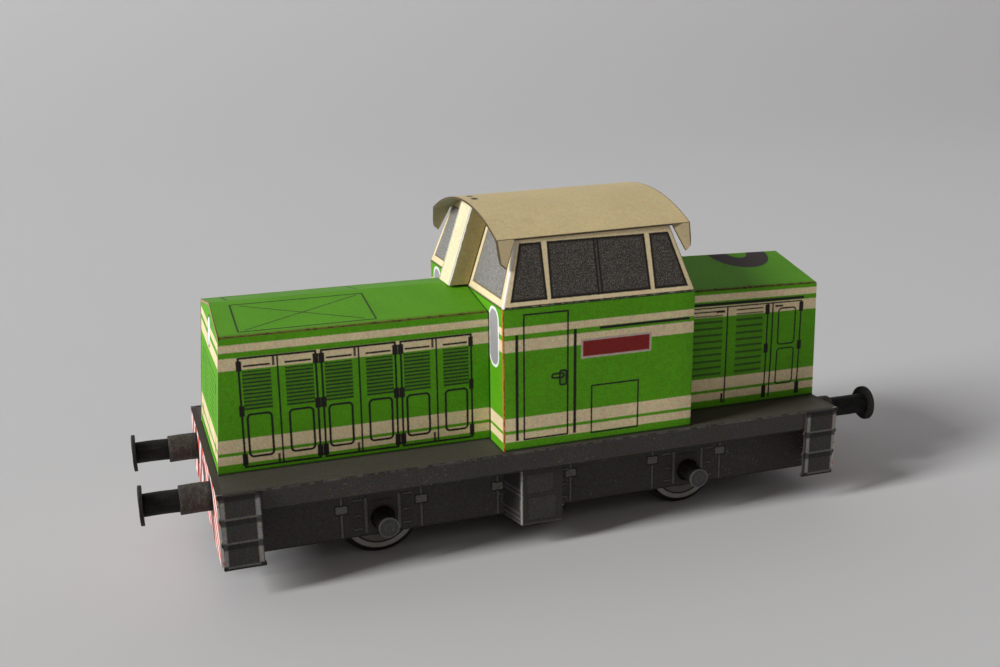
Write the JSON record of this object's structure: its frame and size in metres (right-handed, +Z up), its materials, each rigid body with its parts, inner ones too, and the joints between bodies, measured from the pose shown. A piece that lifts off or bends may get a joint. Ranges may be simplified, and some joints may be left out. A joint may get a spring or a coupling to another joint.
{
  "type": "diesel locomotive card model",
  "caption": "Small printed-card model of a diesel shunting locomotive with a long and a short hood, a cab between them, buffers and turning wheelsets.",
  "frame": {"origin": "on the floor under the wheel flanges, at the middle of the whole length over buffers and of the width", "axes": "+X forward, towards the long hood; +Y to the model's left side; +Z up"},
  "size_m": [0.115, 0.0374, 0.0483],
  "materials": {
    "printed_green": "matte",
    "printed_cream": "matte",
    "printed_khaki": "matte",
    "printed_deck": "matte",
    "printed_stripes": "matte",
    "printed_frame": "matte",
    "plain_board": "matte",
    "rolled_black": "matte",
    "printed_grey": "matte"
  },
  "bodies": {
    "locomotive": {"deck_board": "plain_board", "deck_cover": "printed_deck", "beam_front": "printed_stripes", "beam_rear": "printed_stripes", "frame_left": "printed_frame", "frame_right": "printed_frame", "bearing_left": "plain_board", "bearing_right": "plain_board", "cross_front": "plain_board", "cross_rear": "plain_board", "long_hood": "printed_green", "short_hood": "printed_green", "cab_body": "printed_green", "cab_band": "printed_cream", "cab_roof": "printed_khaki", "cab_duct": "printed_cream", "step_front_left": "printed_frame", "step_front_right": "printed_frame", "step_rear_left": "printed_frame", "step_rear_right": "printed_frame", "tank_left": "printed_frame", "tank_right": "printed_frame", "housing_front_left": "printed_grey", "housing_front_right": "printed_grey", "housing_rear_left": "printed_grey", "housing_rear_right": "printed_grey", "plunger_front_left": "rolled_black", "plunger_front_right": "rolled_black", "plunger_rear_left": "rolled_black", "plunger_rear_right": "rolled_black", "head_front_left": "rolled_black", "head_front_right": "rolled_black", "head_rear_left": "rolled_black", "head_rear_right": "rolled_black"},
    "wheelset_front": {"axle_front": "rolled_black", "wheel_front_left": "printed_grey", "wheel_front_right": "printed_grey", "cap_front_left": "printed_grey", "cap_front_right": "printed_grey"},
    "wheelset_middle": {"axle_middle": "rolled_black", "wheel_middle_left": "printed_grey", "wheel_middle_right": "printed_grey"},
    "wheelset_rear": {"axle_rear": "rolled_black", "wheel_rear_left": "printed_grey", "wheel_rear_right": "printed_grey", "cap_rear_left": "printed_grey", "cap_rear_right": "printed_grey"}
  },
  "joints": [
    {"name": "wheelset_front_spin", "type": "hinge", "parent": "locomotive", "child": "wheelset_front", "pos_m": [0.02515, 0, 0.00625], "axis": [0, 1, 0], "continuous": true},
    {"name": "wheelset_middle_spin", "type": "hinge", "parent": "locomotive", "child": "wheelset_middle", "pos_m": [0.00105, 0, 0.00625], "axis": [0, 1, 0], "continuous": true},
    {"name": "wheelset_rear_spin", "type": "hinge", "parent": "locomotive", "child": "wheelset_rear", "pos_m": [-0.02305, 0, 0.00625], "axis": [0, 1, 0], "continuous": true}
  ]
}
